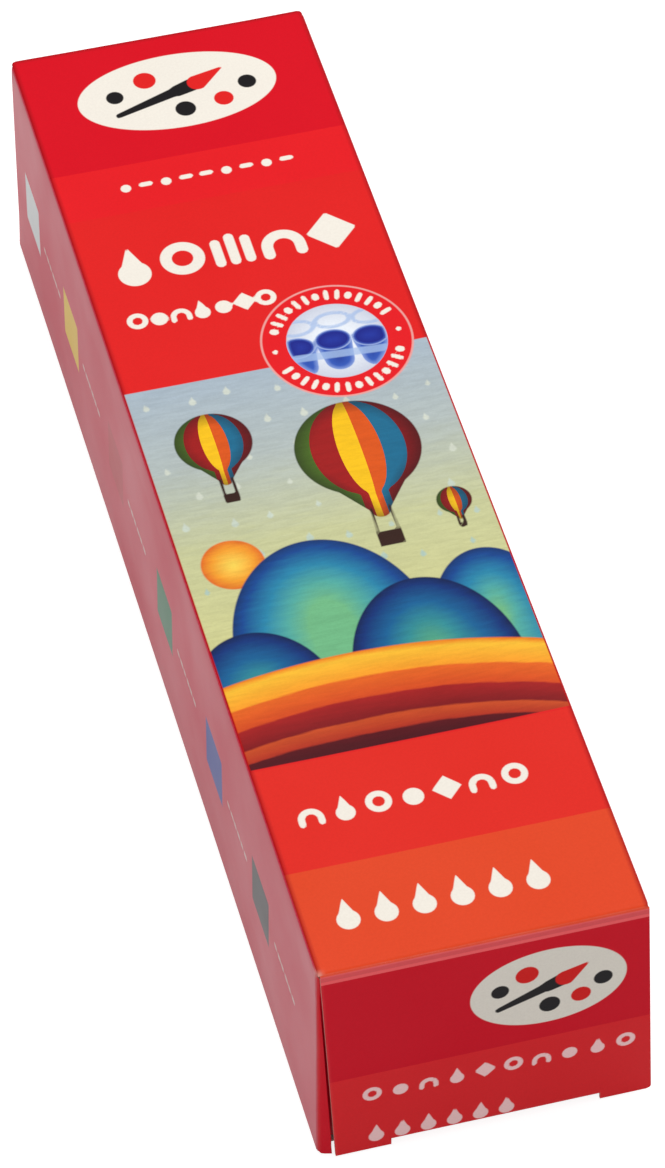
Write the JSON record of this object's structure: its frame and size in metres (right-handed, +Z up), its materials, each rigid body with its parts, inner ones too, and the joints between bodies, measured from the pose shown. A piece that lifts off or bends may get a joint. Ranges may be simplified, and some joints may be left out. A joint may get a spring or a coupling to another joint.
{
  "type": "gouache paint box",
  "caption": "Long printed folding carton with tuck ends, holding a moulded strip of flip-lid pots of gouache paint.",
  "frame": {"origin": "centre of the carton's underside", "axes": "+X to the right across the carton, +Y from the near end to the far end, +Z up"},
  "size_m": [0.054, 0.2076, 0.044],
  "materials": {
    "top_print": "satin",
    "side_print": "satin",
    "end_print": "satin",
    "inner_board": "matte",
    "pot_plastic": "satin",
    "lid_plastic": "satin",
    "white_gouache": "matte",
    "yellow_gouache": "matte",
    "red_gouache": "matte",
    "green_gouache": "matte",
    "blue_gouache": "matte",
    "black_gouache": "matte"
  },
  "bodies": {
    "carton": {"top_panel": "top_print", "left_panel": "side_print", "bottom_panel": "side_print", "right_panel": "side_print", "glue_flap": "inner_board"},
    "near_closure": {"near_closure": "end_print"},
    "near_tuck_flap": {"near_tuck_flap": "end_print"},
    "near_left_dust_flap": {"near_left_dust_flap": "side_print"},
    "near_right_dust_flap": {"near_right_dust_flap": "side_print"},
    "far_closure": {"far_closure": "end_print"},
    "far_tuck_flap": {"far_tuck_flap": "end_print"},
    "far_left_dust_flap": {"far_left_dust_flap": "side_print"},
    "far_right_dust_flap": {"far_right_dust_flap": "side_print"},
    "pot_strip": {"pot_strip": "pot_plastic", "white_paint": "white_gouache", "yellow_paint": "yellow_gouache", "red_paint": "red_gouache", "green_paint": "green_gouache", "blue_paint": "blue_gouache", "black_paint": "black_gouache"},
    "white_lid": {"white_lid": "lid_plastic"},
    "yellow_lid": {"yellow_lid": "lid_plastic"},
    "red_lid": {"red_lid": "lid_plastic"},
    "green_lid": {"green_lid": "lid_plastic"},
    "blue_lid": {"blue_lid": "lid_plastic"},
    "black_lid": {"black_lid": "lid_plastic"}
  },
  "joints": [
    {"name": "near_closure_crease", "type": "hinge", "parent": "carton", "child": "near_closure", "pos_m": [0, -0.10224, 0.04374], "axis": [-1, 0, 0], "range_deg": [-3.4, 116.6]},
    {"name": "near_tuck_crease", "type": "hinge", "parent": "near_closure", "child": "near_tuck_flap", "pos_m": [0, -0.10442, 0.00169], "axis": [1, 0, 0], "range_deg": [-1.18, 38.92]},
    {"name": "near_left_dust_crease", "type": "hinge", "parent": "carton", "child": "near_left_dust_flap", "pos_m": [-0.02602, -0.10172, 0.022], "axis": [0, 0, -1], "range_deg": [-1.75, 58.35]},
    {"name": "near_right_dust_crease", "type": "hinge", "parent": "carton", "child": "near_right_dust_flap", "pos_m": [0.02602, -0.10172, 0.022], "axis": [0, 0, 1], "range_deg": [-1.75, 58.35]},
    {"name": "far_closure_crease", "type": "hinge", "parent": "carton", "child": "far_closure", "pos_m": [0, 0.10224, 0.00026], "axis": [-1, 0, 0], "range_deg": [0, 90]},
    {"name": "far_tuck_crease", "type": "hinge", "parent": "far_closure", "child": "far_tuck_flap", "pos_m": [0, 0.10192, 0.04237], "axis": [1, 0, 0], "range_deg": [0, 30.05]},
    {"name": "far_left_dust_crease", "type": "hinge", "parent": "carton", "child": "far_left_dust_flap", "pos_m": [-0.02602, 0.10172, 0.022], "axis": [0, 0, 1], "range_deg": [0, 45.05]},
    {"name": "far_right_dust_crease", "type": "hinge", "parent": "carton", "child": "far_right_dust_flap", "pos_m": [0.02602, 0.10172, 0.022], "axis": [0, 0, -1], "range_deg": [0, 45.05]},
    {"name": "strip_slide", "type": "slide", "parent": "carton", "child": "pot_strip", "axis": [0, 1, 0], "range_m": [-0.0008, 0.0008]},
    {"name": "white_lid_hinge", "type": "hinge", "parent": "pot_strip", "child": "white_lid", "pos_m": [-0.021, 0.084, 0.0401], "axis": [0, -1, 0], "range_deg": [0, 1.8]},
    {"name": "yellow_lid_hinge", "type": "hinge", "parent": "pot_strip", "child": "yellow_lid", "pos_m": [-0.021, 0.0504, 0.0401], "axis": [0, -1, 0], "range_deg": [0, 1.8]},
    {"name": "red_lid_hinge", "type": "hinge", "parent": "pot_strip", "child": "red_lid", "pos_m": [-0.021, 0.0168, 0.0401], "axis": [0, -1, 0], "range_deg": [0, 1.8]},
    {"name": "green_lid_hinge", "type": "hinge", "parent": "pot_strip", "child": "green_lid", "pos_m": [-0.021, -0.0168, 0.0401], "axis": [0, -1, 0], "range_deg": [0, 1.8]},
    {"name": "blue_lid_hinge", "type": "hinge", "parent": "pot_strip", "child": "blue_lid", "pos_m": [-0.021, -0.0504, 0.0401], "axis": [0, -1, 0], "range_deg": [0, 1.8]},
    {"name": "black_lid_hinge", "type": "hinge", "parent": "pot_strip", "child": "black_lid", "pos_m": [-0.021, -0.084, 0.0401], "axis": [0, -1, 0], "range_deg": [0, 1.8]}
  ],
  "couplings": [
    {"joint": "near_tuck_crease", "follows": "near_closure_crease", "ratio": 0.33333},
    {"joint": "near_left_dust_crease", "follows": "near_closure_crease", "ratio": 0.5},
    {"joint": "near_right_dust_crease", "follows": "near_closure_crease", "ratio": 0.5},
    {"joint": "far_tuck_crease", "follows": "far_closure_crease", "ratio": 0.33333},
    {"joint": "far_left_dust_crease", "follows": "far_closure_crease", "ratio": 0.5},
    {"joint": "far_right_dust_crease", "follows": "far_closure_crease", "ratio": 0.5}
  ]
}
